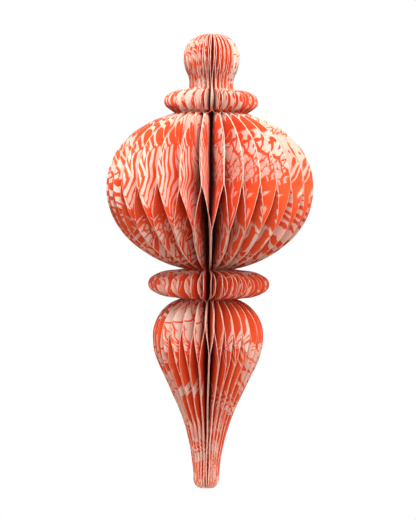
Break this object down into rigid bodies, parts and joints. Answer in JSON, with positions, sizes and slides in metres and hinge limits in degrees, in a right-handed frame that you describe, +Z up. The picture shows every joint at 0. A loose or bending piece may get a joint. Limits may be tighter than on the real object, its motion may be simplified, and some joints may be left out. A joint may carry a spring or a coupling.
{
  "type": "honeycomb paper ornament",
  "caption": "Hanging paper honeycomb in a finial shape: knob, thin collar, large ball, second collar and a bulb that tapers to a long stem, from creased printed sheets.",
  "frame": {"origin": "top of the ornament on its axis, where a cord would take hold", "axes": "+Z up along the axis, from the tip to the knob; -Y is the front, the side of the first sheet"},
  "size_m": [0.123, 0.123, 0.27],
  "materials": {
    "printed_paper": "matt handmade paper, block printed in red-orange on pale pink",
    "plain_paper": "matt unprinted handmade paper"
  },
  "bodies": {
    "root": {"folded_sheet_01": "printed_paper", "folded_sheet_02": "printed_paper", "folded_sheet_03": "printed_paper", "folded_sheet_04": "printed_paper", "folded_sheet_05": "printed_paper", "folded_sheet_06": "printed_paper", "folded_sheet_07": "printed_paper", "folded_sheet_08": "printed_paper", "folded_sheet_09": "printed_paper", "folded_sheet_10": "printed_paper", "folded_sheet_11": "printed_paper", "folded_sheet_12": "printed_paper", "folded_sheet_13": "printed_paper", "folded_sheet_14": "printed_paper", "folded_sheet_15": "printed_paper", "folded_sheet_16": "printed_paper", "folded_sheet_17": "printed_paper", "folded_sheet_18": "printed_paper", "folded_sheet_19": "printed_paper", "folded_sheet_20": "printed_paper", "folded_sheet_21": "printed_paper", "folded_sheet_22": "printed_paper", "folded_sheet_23": "printed_paper", "folded_sheet_24": "printed_paper", "folded_sheet_25": "printed_paper", "folded_sheet_26": "printed_paper", "folded_sheet_27": "printed_paper", "folded_sheet_28": "printed_paper", "folded_sheet_29": "printed_paper", "folded_sheet_30": "printed_paper", "folded_sheet_31": "printed_paper", "folded_sheet_32": "printed_paper", "spine_strip": "plain_paper"}
  },
  "joints": []
}
